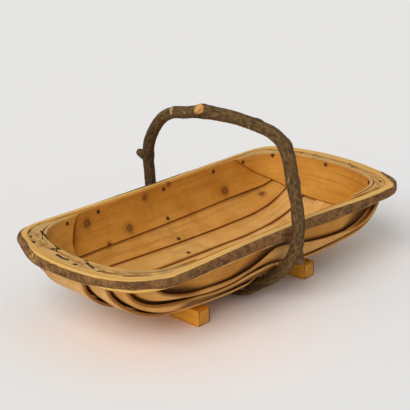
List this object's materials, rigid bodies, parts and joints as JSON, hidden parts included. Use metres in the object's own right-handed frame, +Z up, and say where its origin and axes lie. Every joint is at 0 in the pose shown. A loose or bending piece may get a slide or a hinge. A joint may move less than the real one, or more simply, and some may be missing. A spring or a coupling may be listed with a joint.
{
  "type": "garden trug",
  "caption": "Long shallow garden trug of thin lapped willow boards nailed inside a bent rim with its bark on, with a natural branch hoop for a handle and batten feet.",
  "frame": {"origin": "on the surface it stands on, under the centre of the bounding box", "axes": "+X along the trug's length, towards the end with the shallower lining; +Y across it, along the handle's plane, away from the side where the rim's two ends meet; +Z up"},
  "size_m": [0.5518, 0.2998, 0.2487],
  "materials": {
    "willow_boards": "dry cleft willow boards, honey coloured with fine grain along their length",
    "chestnut_bark": "bent chestnut pole, purplish brown bark outside and pale cleft face on top",
    "branch_bark": "natural branch with dark olive brown bark and pale sawn knots",
    "golden_foot_wood": "golden planed batten",
    "rusty_iron": "dark rusty flat nail heads"
  },
  "bodies": {
    "root": {"keel_board": "willow_boards", "far_board_1": "willow_boards", "far_board_2": "willow_boards", "far_side_board": "willow_boards", "near_board_1": "willow_boards", "near_board_2": "willow_boards", "near_board_3": "willow_boards", "near_side_board": "willow_boards", "left_end_lining": "willow_boards", "right_end_lining": "willow_boards", "rim": "chestnut_bark", "handle_hoop": "branch_bark", "left_foot": "golden_foot_wood", "right_foot": "golden_foot_wood", "near_rim_nail_1": "rusty_iron", "near_rim_nail_2": "rusty_iron", "near_rim_nail_3": "rusty_iron", "near_rim_nail_4": "rusty_iron", "near_rim_nail_5": "rusty_iron", "far_rim_nail_1": "rusty_iron", "far_rim_nail_2": "rusty_iron", "far_rim_nail_3": "rusty_iron", "far_rim_nail_4": "rusty_iron", "far_rim_nail_5": "rusty_iron", "left_end_nail_1": "rusty_iron", "left_end_nail_2": "rusty_iron", "left_end_nail_3": "rusty_iron", "right_end_nail_1": "rusty_iron", "right_end_nail_2": "rusty_iron", "right_end_nail_3": "rusty_iron", "far_hoop_nail_1": "rusty_iron", "far_hoop_nail_2": "rusty_iron", "far_hoop_nail_3": "rusty_iron", "near_hoop_nail_1": "rusty_iron", "near_hoop_nail_2": "rusty_iron", "near_hoop_nail_3": "rusty_iron", "near_hoop_nail_4": "rusty_iron"}
  },
  "joints": []
}
